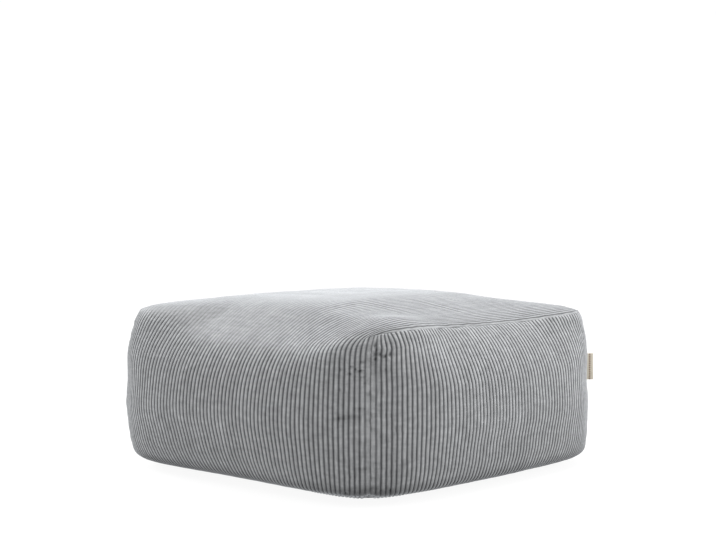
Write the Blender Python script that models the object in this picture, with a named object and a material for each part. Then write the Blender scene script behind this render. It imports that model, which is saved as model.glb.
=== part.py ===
"""Square bean bag footstool in wide-wale corduroy, modelled as it stands on the floor.

One strip of cloth, the wrap, runs up the front, over the top and down the back, and its solid holds the
filling. A shaped end panel is sewn into each open side of it, a flat base panel closes it underneath, and a
folded ribbon is caught in one upright seam. Units are metres, +Z is up, the front faces -Y and the origin is
in the middle of the underside.
"""

import math

import bmesh
import bpy
import numpy as np

# The filled form, as level rings from the floor up. Each ring is a square with round corners. Squareness is
# the power of its outline: 2 is a circle, and a large number is a sharp square.
SECTIONS = (
    # height, half_width, squareness, end_draw, wrap_draw
    (0.000, 0.252, 8.0, 0.0000, 0.0000),
    (0.007, 0.277, 7.0, 0.0000, 0.0000),
    (0.022, 0.321, 5.7, 0.0000, 0.0000),
    (0.047, 0.334, 4.8, 0.0000, 0.0000),
    (0.080, 0.342, 4.2, 0.0000, 0.0000),
    (0.116, 0.349, 3.8, 0.0000, 0.0000),
    (0.152, 0.350, 3.6, 0.0010, 0.0020),
    (0.188, 0.347, 3.8, 0.0030, 0.0070),
    (0.221, 0.335, 4.5, 0.0060, 0.0130),
    (0.248, 0.321, 5.4, 0.0095, 0.0250),
    (0.266, 0.312, 6.1, 0.0150, 0.0445),
    (0.276, 0.306, 6.4, 0.0180, 0.0590),
)
HEIGHT, HALF_WIDTH, SQUARENESS, END_DRAW, WRAP_DRAW = range(5)

# Near the top the middle of each side is drawn in, more on the wrap, whose shoulder is soft, and the corners
# keep their reach. The middle of each top edge also hangs a little.
DRAW_WHOLE, DRAW_NONE = math.radians(18), math.radians(40)  # off the middle of a side
END_SAG, WRAP_SAG = 0.006, 0.003
BACK_SHARE = 0.5  # the back of the wrap is drawn in this much of what the front is

# A filled sack is never quite regular. Towards each heading, counted from +X, the ring on the floor and the
# ring at the top seam stand out by this much, and the top seam lies higher or lower.
UNEVEN_HEADINGS = (
    # heading_deg, base_out, top_out, top_rise
    (0, 0.011, 0.001, -0.004),
    (45, 0.002, 0.003, -0.005),
    (90, 0.000, 0.000, 0.001),
    (135, 0.000, 0.000, -0.001),
    (180, 0.000, 0.000, 0.001),
    (225, -0.013, -0.003, 0.001),
    (270, -0.011, 0.000, 0.000),
    (315, 0.006, 0.001, -0.010),
)
FULLEST_HEIGHT = 0.138  # the base and the top are uneven below and above this height only
RISE_FROM = 0.200  # the height from which the sides follow the rise of the top seam

CROWN_RISE = 0.033  # the middle of the top above the top seams
CROWN_POWER = 3.0
SHOULDER_RISE = 0.001  # a quick rise behind the front and back edges, which have no seam and are soft
SHOULDER_POWER = 14.0

PANEL_THICKNESS = 0.0025
BASE_THICKNESS = 0.0020
SEAM_GAP = 0.0003  # clearance between pieces that are sewn together
SEAM_DEPTH = 0.0030  # the panels turn in by this much where they meet
SEAM_ROLL = 0.0060  # and come back to full height over about this distance

COLUMNS = 24  # mesh cells along one side
EDGE_BUNCHING = 0.70  # 0 spaces the cells evenly, and more crowds them towards the seams
RING_SAMPLES = 241  # points used to measure along one side of a ring
WELD_DISTANCE = 1e-6
SHARP_EDGE_DEG = 40

LABEL_HEIGHT = 0.047
LABEL_MIDDLE = 0.1705  # height of its middle above the floor
LABEL_REACH = 0.0125  # how far it stands out of the seam
LABEL_LAYER = 0.0010
LABEL_SLIT = 0.0006  # between its two layers
LABEL_FOLD_STEPS = 8

COLOURS = {
    "corduroy": (0.34, 0.35, 0.36, 1.0),
    "ribbon": (0.74, 0.68, 0.58, 1.0),
}
ROUGHNESS = {"corduroy": 0.95, "ribbon": 0.80}

RIGHT, BACK, LEFT, FRONT = range(4)  # quarter turns from the +X side


def clear_scene():
    for thing in list(bpy.data.objects):
        bpy.data.objects.remove(thing)


def cloth_material(finish):
    material = bpy.data.materials.new(finish)
    material.use_nodes = True
    shader = material.node_tree.nodes["Principled BSDF"]
    shader.inputs["Base Color"].default_value = COLOURS[finish]
    shader.inputs["Roughness"].default_value = ROUGHNESS[finish]
    shader.inputs["Metallic"].default_value = 0.0
    material.diffuse_color = COLOURS[finish]
    return material


def crowded_shares():
    """Shares from 0 to 1 along a side, closer together towards both of its seams."""
    even = np.linspace(0.0, 1.0, COLUMNS + 1)
    return even - EDGE_BUNCHING * np.sin(2 * math.pi * even) / (2 * math.pi)


def section_rows():
    """The sections from just above the base panel up to the top seam, and the slope of the side at each."""
    table = np.array(SECTIONS)
    lowest = BASE_THICKNESS + SEAM_GAP
    first = [np.interp(lowest, table[:, HEIGHT], column) for column in table.T]
    rows = np.vstack([first, table[1:]])
    outward = np.gradient(rows[:, HALF_WIDTH])
    upward = np.gradient(rows[:, HEIGHT])
    length = np.hypot(outward, upward)
    return rows, outward / length, upward / length


def eased(share):
    """A share held between 0 and 1, with soft ends."""
    share = np.clip(share, 0.0, 1.0)
    return share * share * (3 - 2 * share)


def unevenness(headings):
    """Base out, top out and top rise for each heading, eased between the rows of the table."""
    table = np.array(UNEVEN_HEADINGS)
    total = np.zeros((3, len(headings)))
    spacing = 2 * math.pi / len(table)
    for row in table:
        away = np.abs((headings - math.radians(row[0]) + math.pi) % (2 * math.pi) - math.pi)
        total += row[1:, None] * eased(1.0 - away / spacing)
    return total


def ring(section, side, shares):
    """Points along one side of a ring, spaced evenly by length, and their level outward directions."""
    angles = np.linspace(-math.pi / 4, math.pi / 4, RING_SAMPLES)
    power, height = section[SQUARENESS], section[HEIGHT]
    across, along = np.cos(angles), np.abs(np.sin(angles))
    reach = section[HALF_WIDTH] * (across**power + along**power) ** (-1 / power)
    flat = np.abs(np.column_stack([reach * np.cos(angles), reach * np.sin(angles)]) / section[HALF_WIDTH])
    facing = flat ** (power - 1) * np.sign(np.column_stack([across, angles]))

    base_out, top_out, top_rise = unevenness(angles + side * math.pi / 2)
    at_base = max(1.0 - height / FULLEST_HEIGHT, 0.0) ** 2
    at_top = max(height / FULLEST_HEIGHT - 1.0, 0.0) ** 2
    at_seam = max((height - RISE_FROM) / (SECTIONS[-1][HEIGHT] - RISE_FROM), 0.0) ** 2
    draw, sag = (section[WRAP_DRAW], WRAP_SAG) if side in (FRONT, BACK) else (section[END_DRAW], END_SAG)
    draw *= BACK_SHARE if side == BACK else 1.0
    inner = eased((DRAW_NONE - np.abs(angles)) / (DRAW_NONE - DRAW_WHOLE))
    reach = reach + at_base * base_out + at_top * top_out - draw * inner
    level = height + at_seam * (top_rise - sag * inner)
    line = np.column_stack([reach * np.cos(angles), reach * np.sin(angles), level])

    measured = np.concatenate([[0.0], np.cumsum(np.linalg.norm(np.diff(line, axis=0), axis=1))])
    at = np.asarray(shares) * measured[-1]
    points = np.column_stack([np.interp(at, measured, column) for column in line.T])
    facing = np.column_stack([np.interp(at, measured, column) for column in facing.T])
    return points, facing / np.linalg.norm(facing, axis=1, keepdims=True), measured[-1]


def turned(vectors, side):
    """Vectors of the +X side, turned about +Z to another side."""
    x, y, z = np.moveaxis(vectors, -1, 0)
    for _ in range(side):
        x, y = -y, x
    return np.stack([x, y, z], axis=-1)


def seam_valley(distance):
    """How far a panel has turned in at a distance from its seam."""
    return SEAM_DEPTH * np.exp(-distance / SEAM_ROLL)


def side_grid(side):
    """Rows of outer points and of outward normals of one side, from the base up to the top seam."""
    shares = crowded_shares()
    points, normals, to_corner = [], [], []
    for section, out, up in zip(*section_rows()):
        line, facing, length = ring(section, side, shares)
        points.append(line)
        normals.append(np.column_stack([facing * up, np.full(len(shares), -out)]))
        to_corner.append(np.minimum(shares, 1.0 - shares) * length)
    points, normals = np.array(points), np.array(normals)
    facing = np.cross(np.gradient(points, axis=1), np.gradient(points, axis=0))
    facing /= np.linalg.norm(facing, axis=2, keepdims=True)
    normals[:, 1:-1] = facing[:, 1:-1]  # the corners are shared with the next side, so they keep the section's own

    depth = seam_valley(np.array(to_corner))
    if side in (RIGHT, LEFT):
        steps = np.linalg.norm(np.diff(points, axis=0), axis=2)
        to_top_seam = np.vstack([np.cumsum(steps[::-1], axis=0)[::-1], np.zeros(len(shares))])
        depth = np.maximum(depth, seam_valley(to_top_seam))
    points -= normals * depth[:, :, None]
    return turned(points, side), turned(normals, side)


def stretched_between(front, back, left, right):
    """Rows of points that fill the space between four edges."""
    shares = crowded_shares()
    across, along = shares[None, :, None], shares[:, None, None]
    grid = (1 - along) * front + along * back + (1 - across) * left[:, None] + across * right[:, None]
    grid -= (1 - along) * ((1 - across) * front[0] + across * front[-1])
    return grid - along * ((1 - across) * back[0] + across * back[-1])


def top_grid():
    """Rows of points over the crowned top, from the front shoulder to the back one."""
    grids = {side: side_grid(side) for side in (RIGHT, BACK, LEFT, FRONT)}
    edges = {side: points[-1] for side, (points, _) in grids.items()}
    grid = stretched_between(edges[FRONT], edges[BACK][::-1], edges[LEFT][::-1], edges[RIGHT])

    shares = crowded_shares()
    from_middle = np.abs(2 * shares - 1)
    across, along = from_middle[None, :], from_middle[:, None]
    crown = CROWN_RISE * (1 - along**CROWN_POWER) + SHOULDER_RISE * (1 - along**SHOULDER_POWER)
    grid[:, :, 2] += crown * (1 - across**CROWN_POWER)

    width = np.linalg.norm(grid[:, -1] - grid[:, 0], axis=1)[:, None]
    right_normals, left_normals = grids[RIGHT][1][-1], grids[LEFT][1][-1][::-1]
    for seam_normals, distance in ((right_normals, (1 - shares) * width), (left_normals, shares * width)):
        depth = seam_valley(distance)
        depth[[0, -1], :] = 0.0  # the edges have already turned in
        depth[:, [0, -1]] = 0.0
        grid -= seam_normals[:, None, :] * depth[:, :, None]
    return grid


def add_patch(mesh, rows):
    """A grid of points as triangles, every cell cut along the same diagonal."""
    corners = [[mesh.verts.new(point) for point in row] for row in rows]
    for lower, upper in zip(corners, corners[1:]):
        for k in range(len(lower) - 1):
            mesh.faces.new((lower[k], lower[k + 1], upper[k + 1]))
            mesh.faces.new((lower[k], upper[k + 1], upper[k]))


def add_flat_face(mesh, outline):
    return mesh.faces.new([mesh.verts.new(point) for point in outline])


def raise_face(mesh, face, height):
    """Extrudes a flat face straight up into a plate."""
    extruded = bmesh.ops.extrude_face_region(mesh, geom=[face])
    raised = [item for item in extruded["geom"] if isinstance(item, bmesh.types.BMVert)]
    bmesh.ops.translate(mesh, verts=raised, vec=(0.0, 0.0, height))


def finished_object(name, mesh, finish):
    """Closes the patches along their shared edges, turns them outwards and makes an object of them."""
    bmesh.ops.remove_doubles(mesh, verts=mesh.verts, dist=WELD_DISTANCE)
    bmesh.ops.recalc_face_normals(mesh, faces=mesh.faces)
    data = bpy.data.meshes.new(name)
    mesh.to_mesh(data)
    mesh.free()
    data.shade_smooth()
    data.set_sharp_from_angle(angle=math.radians(SHARP_EDGE_DEG))
    data.materials.append(cloth_material(finish))
    thing = bpy.data.objects.new(name, data)
    bpy.context.scene.collection.objects.link(thing)
    return thing


def sunk(points, normals, depth):
    """The points moved in along their normals, with the lowest row kept at its height."""
    moved = points - normals * depth
    moved[0, :, 2] = points[0, :, 2]
    return moved


def wrap_cushion():
    """The filled wrap: its own cloth in front, on top and behind, and a recess for each sewn-on panel."""
    mesh = bmesh.new()
    rows = {FRONT: side_grid(FRONT)[0], BACK: side_grid(BACK)[0]}
    for side in (FRONT, BACK):
        add_patch(mesh, rows[side])
    add_patch(mesh, top_grid())
    for side in (RIGHT, LEFT):
        outer, normals = side_grid(side)
        recess = sunk(outer, normals, PANEL_THICKNESS + SEAM_GAP)
        rows[side] = recess
        add_patch(mesh, recess)
        add_patch(mesh, [outer[:, 0], recess[:, 0]])
        add_patch(mesh, [outer[:, -1], recess[:, -1]])
        add_patch(mesh, [outer[-1], recess[-1]])
    add_flat_face(mesh, np.concatenate([rows[side][0] for side in (RIGHT, BACK, LEFT, FRONT)]))
    return finished_object("wrap_cushion", mesh, "corduroy")


def moved_towards(edge, target, distance):
    inward = target - edge
    return edge + distance * inward / np.linalg.norm(inward, axis=-1, keepdims=True)


def end_panel(name, side):
    """One side of the footstool: a sheet that lies in the wrap's recess and is sewn round three edges."""
    outer, normals = side_grid(side)
    outer[:, 0] = moved_towards(outer[:, 0], outer[:, 1], SEAM_GAP)
    outer[:, -1] = moved_towards(outer[:, -1], outer[:, -2], SEAM_GAP)
    outer[-1] = moved_towards(outer[-1], outer[-2], SEAM_GAP)
    inner = sunk(outer, normals, PANEL_THICKNESS)
    mesh = bmesh.new()
    add_patch(mesh, outer)
    add_patch(mesh, inner)
    add_patch(mesh, [outer[0], inner[0]])
    add_patch(mesh, [outer[-1], inner[-1]])
    add_patch(mesh, [outer[:, 0], inner[:, 0]])
    add_patch(mesh, [outer[:, -1], inner[:, -1]])
    return finished_object(name, mesh, "corduroy")


def base_panel():
    """The flat sheet that the footstool stands on."""
    mesh = bmesh.new()
    sides = [turned(ring(SECTIONS[0], side, crowded_shares()[:-1])[0], side) for side in (RIGHT, BACK, LEFT, FRONT)]
    raise_face(mesh, add_flat_face(mesh, np.concatenate(sides)), BASE_THICKNESS)
    return finished_object("base_panel", mesh, "corduroy")


def label_tab():
    """A ribbon folded in half, its two ends against the upright seam between the right end and the back."""
    seam = side_grid(RIGHT)[0][:, -1]
    bottom, top = LABEL_MIDDLE - LABEL_HEIGHT / 2, LABEL_MIDDLE + LABEL_HEIGHT / 2
    heights = np.append(seam[(seam[:, 2] > bottom) & (seam[:, 2] < top), 2], [bottom, top])
    reach = np.interp(heights, seam[:, 2], np.linalg.norm(seam[:, :2], axis=1))
    start = reach.max() + SEAM_GAP

    outer_radius, inner_radius = LABEL_LAYER + LABEL_SLIT / 2, LABEL_SLIT / 2
    turn = np.linspace(-math.pi / 2, math.pi / 2, LABEL_FOLD_STEPS + 1)
    fold = LABEL_REACH - outer_radius
    outside = [(fold + outer_radius * math.cos(a), outer_radius * math.sin(a)) for a in turn]
    inside = [(fold + inner_radius * math.cos(a), inner_radius * math.sin(a)) for a in turn[::-1]]
    outline = [(0.0, -outer_radius), *outside, (0.0, outer_radius)]
    outline += [(0.0, inner_radius), *inside, (0.0, -inner_radius)]

    out, aside = np.array([1.0, 1.0]) / math.sqrt(2), np.array([-1.0, 1.0]) / math.sqrt(2)
    mesh = bmesh.new()
    face = add_flat_face(mesh, [(*((start + far) * out + off * aside), bottom) for far, off in outline])
    raise_face(mesh, face, top - bottom)
    return finished_object("label_tab", mesh, "ribbon")


clear_scene()
wrap_cushion()
end_panel("end_panel_right", RIGHT)
end_panel("end_panel_left", LEFT)
base_panel()
label_tab()
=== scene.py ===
# %% [markdown]
# # A bean bag footstool in wide corduroy
# A bean bag footstool is a sewn sack of polystyrene beads. This one has a cover of very wide corduroy. One
# long strip, the wrap, goes up the front, over the top and down the back, and an end panel closes each
# side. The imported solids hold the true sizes. This lesson dresses them in cloth with its ribs, seams and
# puckers.
#
# The cover could be one lump with the ribs painted on, but then its outline would be smooth and the seams
# would be lines. Here each panel is a sheet of real ribs that meets its neighbours in the seams.

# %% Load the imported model
import math

import bmesh
import bpy
import numpy as np
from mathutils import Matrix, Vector


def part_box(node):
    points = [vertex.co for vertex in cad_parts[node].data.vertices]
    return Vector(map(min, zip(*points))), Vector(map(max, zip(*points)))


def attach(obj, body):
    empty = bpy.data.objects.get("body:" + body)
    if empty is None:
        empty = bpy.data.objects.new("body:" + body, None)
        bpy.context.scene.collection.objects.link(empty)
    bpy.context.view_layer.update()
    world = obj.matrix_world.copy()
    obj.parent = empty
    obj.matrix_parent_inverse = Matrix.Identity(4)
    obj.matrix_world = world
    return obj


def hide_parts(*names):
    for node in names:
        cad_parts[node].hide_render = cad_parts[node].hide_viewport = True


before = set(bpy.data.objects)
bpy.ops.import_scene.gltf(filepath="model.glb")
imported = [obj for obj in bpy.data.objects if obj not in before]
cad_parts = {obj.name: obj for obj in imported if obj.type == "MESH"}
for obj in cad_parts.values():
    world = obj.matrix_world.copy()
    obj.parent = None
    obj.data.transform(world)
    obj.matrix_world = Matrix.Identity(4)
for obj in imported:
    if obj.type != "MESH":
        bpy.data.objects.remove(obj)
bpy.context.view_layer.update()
bpy.ops.object.select_all(action="DESELECT")

# %% [markdown]
# ## Sizes
# The ribs run along every panel, so they stand upright on all four sides and cross the top from front to
# back. Every side is the same number of ribs wide. The footstool's size comes from the solids, and the size
# of a rib from the cloth.

# %% Sizes, in metres
wrap_low, wrap_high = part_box("wrap_cushion")
WRAP_DEPTH = 0.6977  # front to back, when every size below is true
SCALE = (wrap_high.y - wrap_low.y) / WRAP_DEPTH
BASE_LEVEL = wrap_low.z  # the filled form starts on top of the base panel
BASE_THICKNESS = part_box("base_panel")[1].z

RIBS = 72  # across each panel
PITCH = 0.0086 * SCALE
UPRIGHT_PITCH = 0.0081 * SCALE
CROWDED_REACH = 0.026 * SCALE  # ribs that run out crowd together this close to a seam
WALE_HEIGHT = 0.0016  # from the groove to the crest of a rib
WALE_POWER = 2.6  # a larger power gives a flatter crest and a narrower groove
WALE_ROUND = 0.60
EDGE_HEIGHT = 0.45  # of the rib next to a seam

SEAM_DEPTH = 0.0016  # how far the cloth turns in at a seam
SEAM_ROLL = 0.0045  # and within what distance of it
CLOTH_THICKNESS = 0.0016
SEAM_GAP = 0.0003  # between an end panel and the wrap
FLOOR_GAP = 0.0004  # no cloth of the sides comes nearer to the floor

print("scale", round(SCALE, 4), "base level", round(BASE_LEVEL, 4), "base panel", round(BASE_THICKNESS, 4))

# %% [markdown]
# ## The filled form
# The beads push the cover into a soft square: full in the middle of its height, drawn in at the seams and
# spread on the floor. Sculpted freely it would leave the solids, so it follows the same level rings as they
# do, and a smooth curve through the rings is read wherever a row of cloth needs one. The slack of the front
# corner and of the top edge is added here.

# %% The rings of the filled form
SECTIONS = np.array([
    # height, half_width, squareness, end_draw, wrap_draw
    (0.000, 0.252, 8.0, 0.0000, 0.0000),
    (0.007, 0.277, 7.0, 0.0000, 0.0000),
    (0.022, 0.321, 5.7, 0.0000, 0.0000),
    (0.047, 0.334, 4.8, 0.0000, 0.0000),
    (0.080, 0.342, 4.2, 0.0000, 0.0000),
    (0.116, 0.349, 3.8, 0.0000, 0.0000),
    (0.152, 0.350, 3.6, 0.0010, 0.0020),
    (0.188, 0.347, 3.8, 0.0030, 0.0070),
    (0.221, 0.335, 4.5, 0.0060, 0.0130),
    (0.248, 0.321, 5.4, 0.0095, 0.0250),
    (0.266, 0.312, 6.1, 0.0150, 0.0445),
    (0.276, 0.306, 6.4, 0.0180, 0.0590),
])
SECTIONS *= (SCALE, SCALE, 1.0, SCALE, SCALE)

UNEVEN_HEADINGS = np.array([
    # heading_deg, base_out, top_out, top_rise
    (0, 0.011, 0.001, -0.004),
    (45, 0.002, 0.003, -0.005),
    (90, 0.000, 0.000, 0.001),
    (135, 0.000, 0.000, -0.001),
    (180, 0.000, 0.000, 0.001),
    (225, -0.013, -0.003, 0.001),
    (270, -0.011, 0.000, 0.000),
    (315, 0.006, 0.001, -0.010),
])
UNEVEN_HEADINGS[:, 1:] *= SCALE

TOP_EDGE_FORMS = (
    # heading_deg, width_deg, out, rise: how the soft cloth of the top edge stands at its folds and corners
    (302, 14, 0.010, -0.017),
    (313, 8, 0.000, -0.004),
    (330, 34, 0.000, 0.0075),
    (45, 30, 0.004, 0.000),
)

FULLEST_HEIGHT = 0.138 * SCALE
RISE_FROM = 0.200 * SCALE
UPPER_BLEND = 0.060 * SCALE
CROWN_RISE, CROWN_POWER = 0.028 * SCALE, 3.0
ROLL_RISE, ROLL_POWER = 0.005 * SCALE, 14.0  # the quick rise beside the top seams
SHOULDER_RISE, SHOULDER_POWER = 0.001 * SCALE, 14.0
HUMP_RISE, HUMP_REACH = 0.009 * SCALE, 0.075 * SCALE  # a soft hump behind the front corner
HUMP_PLACE = (0.240 * SCALE, -0.190 * SCALE)
DRAW_WHOLE, DRAW_NONE = math.radians(18), math.radians(40)  # off the middle of a side
END_SAG, WRAP_SAG = 0.006 * SCALE, 0.003 * SCALE  # how far the middle of a side's top edge hangs
CORNER_HEADING, CORNER_WIDTH = math.radians(315), math.radians(40)
CORNER_TWIST = 0.018  # how far the top of the front corner is pulled round, as an angle
CORNER_OUT, CORNER_NEAR = 0.005 * SCALE, math.radians(24)  # how far it stands out below its top
BACK_SHARE = 0.5  # the back of the wrap is drawn in by this share of what the front is
RING_SAMPLES = 241
RIGHT, BACK, LEFT, FRONT = range(4)  # quarter turns from the +X side
print("rings:", len(SECTIONS), "from the floor to", round(SECTIONS[-1, 0], 3), "m")


# %% Curves, lengths and angles
def smooth_through(places, values, wanted):
    """A smooth curve through values at known places, read at other places. Both lists of places rise."""
    values = np.asarray(values, float)
    flat = values.reshape(len(places), -1)
    slope = np.gradient(flat, places, axis=0)
    k = np.clip(np.searchsorted(places, wanted, side="right") - 1, 0, len(places) - 2)
    width = (places[k + 1] - places[k])[:, None]
    s = (wanted - places[k])[:, None] / width
    start, end = flat[k], flat[k + 1]
    curve = start * (2 * s**3 - 3 * s**2 + 1) + end * (3 * s**2 - 2 * s**3)
    curve += width * (slope[k] * (s**3 - 2 * s**2 + s) + slope[k + 1] * (s**3 - s**2))
    return curve.reshape(len(wanted), *values.shape[1:])


def steps_along(line):
    """Length from the first point of a line to each of its points."""
    return np.concatenate([[0.0], np.cumsum(np.linalg.norm(np.diff(line, axis=0), axis=1))])


def unit(vectors):
    return vectors / np.linalg.norm(vectors, axis=-1, keepdims=True)


def eased(share):
    """A share held between 0 and 1, with soft ends."""
    share = np.clip(share, 0.0, 1.0)
    return share * share * (3 - 2 * share)


def angle_from(headings, heading):
    """How far round each heading lies from one heading, either way."""
    return np.abs((headings - heading + math.pi) % (2 * math.pi) - math.pi)


# %% One side of the form
def unevenness(headings):
    """Base out, top out and top rise for each heading, eased between the rows of the table."""
    total = np.zeros((3, len(headings)))
    for row in UNEVEN_HEADINGS:
        away = angle_from(headings, math.radians(row[0]))
        total += row[1:, None] * eased(1.0 - away * len(UNEVEN_HEADINGS) / (2 * math.pi))
    return total


def rib_lengths(shares, middle, length):
    """Places along a line for shares of a panel's width: the ribs keep their pitch, and crowd at seams."""
    places = np.empty(len(shares))
    for half, room, way in ((shares < 0.5, middle, -1), (shares >= 0.5, length - middle, 1)):
        offsets = np.abs(shares[half] - 0.5) * max(RIBS * UPRIGHT_PITCH, 2 * room)
        kept = room - CROWDED_REACH
        beyond = np.maximum(offsets - kept, 0.0) * CROWDED_REACH / (offsets.max() - kept)
        places[half] = middle + way * (np.minimum(offsets, kept) + beyond)
    return places


def ring_side(height, half_width, squareness, end_draw, wrap_draw, side, shares):
    """Points along one side of a level ring, where the ribs cross it."""
    angles = np.linspace(-math.pi / 4, math.pi / 4, RING_SAMPLES)
    powers = np.cos(angles) ** squareness + np.abs(np.sin(angles)) ** squareness
    reach = half_width * powers ** (-1 / squareness)
    headings = angles + side * math.pi / 2
    base_out, top_out, top_rise = unevenness(headings)
    at_base = max(1.0 - height / FULLEST_HEIGHT, 0.0) ** 2
    at_top = max(height / FULLEST_HEIGHT - 1.0, 0.0) ** 2
    at_seam = max((height - RISE_FROM) / (SECTIONS[-1, 0] - RISE_FROM), 0.0) ** 2
    draw, sag = (wrap_draw, WRAP_SAG) if side in (FRONT, BACK) else (end_draw, END_SAG)
    draw *= BACK_SHARE if side == BACK else 1.0
    inner = eased((DRAW_NONE - np.abs(angles)) / (DRAW_NONE - DRAW_WHOLE))
    reach = reach + at_base * base_out + at_top * top_out - draw * inner
    level = height + at_seam * (top_rise - sag * inner)
    from_corner = angle_from(headings, CORNER_HEADING)
    pulled = headings + CORNER_TWIST * at_seam**2 * eased(1 - from_corner / CORNER_WIDTH)
    up = np.clip((height - RISE_FROM) / (SECTIONS[-1, 0] - RISE_FROM), 0.0, 1.0)
    bulge = (4 * up * (1 - up)) ** 2  # whole halfway from where the rise starts to the top
    reach = reach + CORNER_OUT * bulge * eased(1 - from_corner / CORNER_NEAR)
    for heading, spread, out, rise in TOP_EDGE_FORMS:
        away = angle_from(headings, math.radians(heading))
        near = at_seam * SCALE * eased(1 - away / math.radians(spread))
        reach, level = reach + out * near, level + rise * near
    line = np.column_stack([reach * np.cos(pulled), reach * np.sin(pulled), level])
    measured = steps_along(line)
    upper = eased((height - FULLEST_HEIGHT) / UPPER_BLEND)
    straight = rib_lengths(shares, measured[RING_SAMPLES // 2], measured[-1])
    places = upper * straight + (1 - upper) * shares * measured[-1]
    return np.column_stack([np.interp(places, measured, column) for column in line.T])


def side_form(side, rows, columns):
    """A grid of points over one side, from the base panel up to the top seam."""
    along = steps_along(SECTIONS[:, [1, 0]])
    lowest = np.interp(BASE_LEVEL, SECTIONS[:, 0], along)
    wanted = np.linspace(lowest, along[-1], rows + 1)
    shares = np.linspace(0.0, 1.0, columns + 1)
    rings = smooth_through(along, SECTIONS, wanted)
    rings[0, 0] = BASE_LEVEL
    return np.array([ring_side(*ring, side, shares) for ring in rings])


# %% The top, the base and the whole form
def stretched_between(front, back, left, right):
    """A grid of points that fills the space between four edges of equal counts."""
    share = np.linspace(0.0, 1.0, len(front))
    across, along = share[None, :, None], share[:, None, None]
    grid = (1 - along) * front + along * back + (1 - across) * left[:, None] + across * right[:, None]
    grid -= (1 - along) * ((1 - across) * front[0] + across * front[-1])
    return grid - along * ((1 - across) * back[0] + across * back[-1])


def from_middle(grid, axis):
    """How far each point of a grid lies from the middle of its line, from 0 to 1 at both ends."""
    steps = np.linalg.norm(np.diff(grid, axis=axis), axis=2)
    measured = np.cumsum(steps, axis=axis)
    measured = np.insert(measured, 0, 0.0, axis=axis)
    whole = measured.take([-1], axis=axis)
    return np.abs(2 * measured / whole - 1)


def crowned(grid):
    """The top lifted by the beads, highest in the middle."""
    along, across = from_middle(grid, 0), from_middle(grid, 1)
    crown = CROWN_RISE * (1 - along**CROWN_POWER) + SHOULDER_RISE * (1 - along**SHOULDER_POWER)
    raised = grid.copy()
    raised[:, :, 2] += crown * (1 - across**CROWN_POWER)
    from_hump = np.linalg.norm(grid[:, :, :2] - HUMP_PLACE, axis=2) / HUMP_REACH
    roll = ROLL_RISE + HUMP_RISE * np.exp(-from_hump**2)
    raised[:, :, 2] += roll * (1 - across**ROLL_POWER) * (1 - along**ROLL_POWER)
    return raised


SIDE_ROWS = 42  # rows of cloth from the base panel to the top seam
sides = {side: side_form(side, SIDE_ROWS, RIBS) for side in (RIGHT, BACK, LEFT, FRONT)}
top_edges = (sides[FRONT][-1], sides[BACK][-1][::-1], sides[LEFT][-1][::-1], sides[RIGHT][-1])
base_edges = (sides[FRONT][0], sides[BACK][0][::-1], sides[LEFT][0][::-1], sides[RIGHT][0])
top_form = crowned(stretched_between(*top_edges))
base_form = stretched_between(*base_edges)
between_seams = np.ptp(sides[RIGHT][:, :, 1])
print("form:", top_form[:, :, 2].max().round(4), "high,", between_seams.round(4), "between seams")

# %% [markdown]
# ## Filling the sack
# Sewn cloth over beads isn't a smooth form: the seams are a little shorter than the panels, so the cloth
# gathers along them, and the filling swells the panels between. Blender's Cloth does that well. The panels
# are sewn into one sack, which starts two millimetres small. Air pressure stands for the beads, the seams
# shrink, and the movement is capped, so that the footstool keeps its size.

# %% Sew the panels into one sack
lattice = {}


def lattice_grid(rows, place):
    """A panel's point numbers, from the rule that places its columns and rows. Edges share their points."""
    places = ([place(i, k) for i in range(RIBS + 1)] for k in range(rows + 1))
    return np.array([[lattice.setdefault(spot, len(lattice)) for spot in row] for row in places])


sack_index = {
    FRONT: lattice_grid(SIDE_ROWS, lambda i, k: (i, 0, k)),
    RIGHT: lattice_grid(SIDE_ROWS, lambda i, k: (RIBS, i, k)),
    BACK: lattice_grid(SIDE_ROWS, lambda i, k: (RIBS - i, RIBS, k)),
    LEFT: lattice_grid(SIDE_ROWS, lambda i, k: (0, RIBS - i, k)),
    "top": lattice_grid(RIBS, lambda i, j: (i, j, SIDE_ROWS)),
    "base": lattice_grid(RIBS, lambda i, j: (i, j, 0)),
}
sack_points = np.zeros((len(lattice), 3))
for name, form in [*sides.items(), ("top", top_form), ("base", base_form)]:
    sack_points[sack_index[name]] = form

# %% Round the wrap over its two shoulders
ROLL_PASSES, ROLL_SHARE = 14, 0.25  # of smoothing along the wrap, and how far each one goes
ROLL_ROWS, ROLL_BESIDE = 5.0, 4.0  # rows of cloth on each side of a shoulder, and ribs beside a seam
wrap_grids = (sack_index[FRONT], sack_index["top"][1:-1], sack_index[BACK][::-1, ::-1])


def rolled_over(points):
    """The points with the wrap's two shoulders rounded off, except at its seams."""
    strip = np.vstack(wrap_grids)
    line = points[strip]
    for _ in range(ROLL_PASSES):
        line[1:-1] += ROLL_SHARE * (line[:-2] + line[2:] - 2 * line[1:-1])
    rows = np.arange(len(strip))
    near = sum(np.exp(-(((way - SIDE_ROWS) / ROLL_ROWS) ** 2)) for way in (rows, rows[::-1]))
    columns = np.arange(RIBS + 1)
    beside = eased(np.minimum(columns, columns[::-1]) / ROLL_BESIDE)
    share = (near[:, None] * beside[None, :])[:, :, None]
    rounded = points.copy()
    rounded[strip] = (1 - share) * points[strip] + share * line
    return rounded


sack_points = rolled_over(sack_points)


# %% Make the sack a mesh
def cells(index):
    """The quads of a grid of vertex numbers, each turning to the left."""
    corners = (index[:-1, :-1], index[:-1, 1:], index[1:, 1:], index[1:, :-1])
    return np.stack(corners, axis=-1).reshape(-1, 4)


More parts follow.
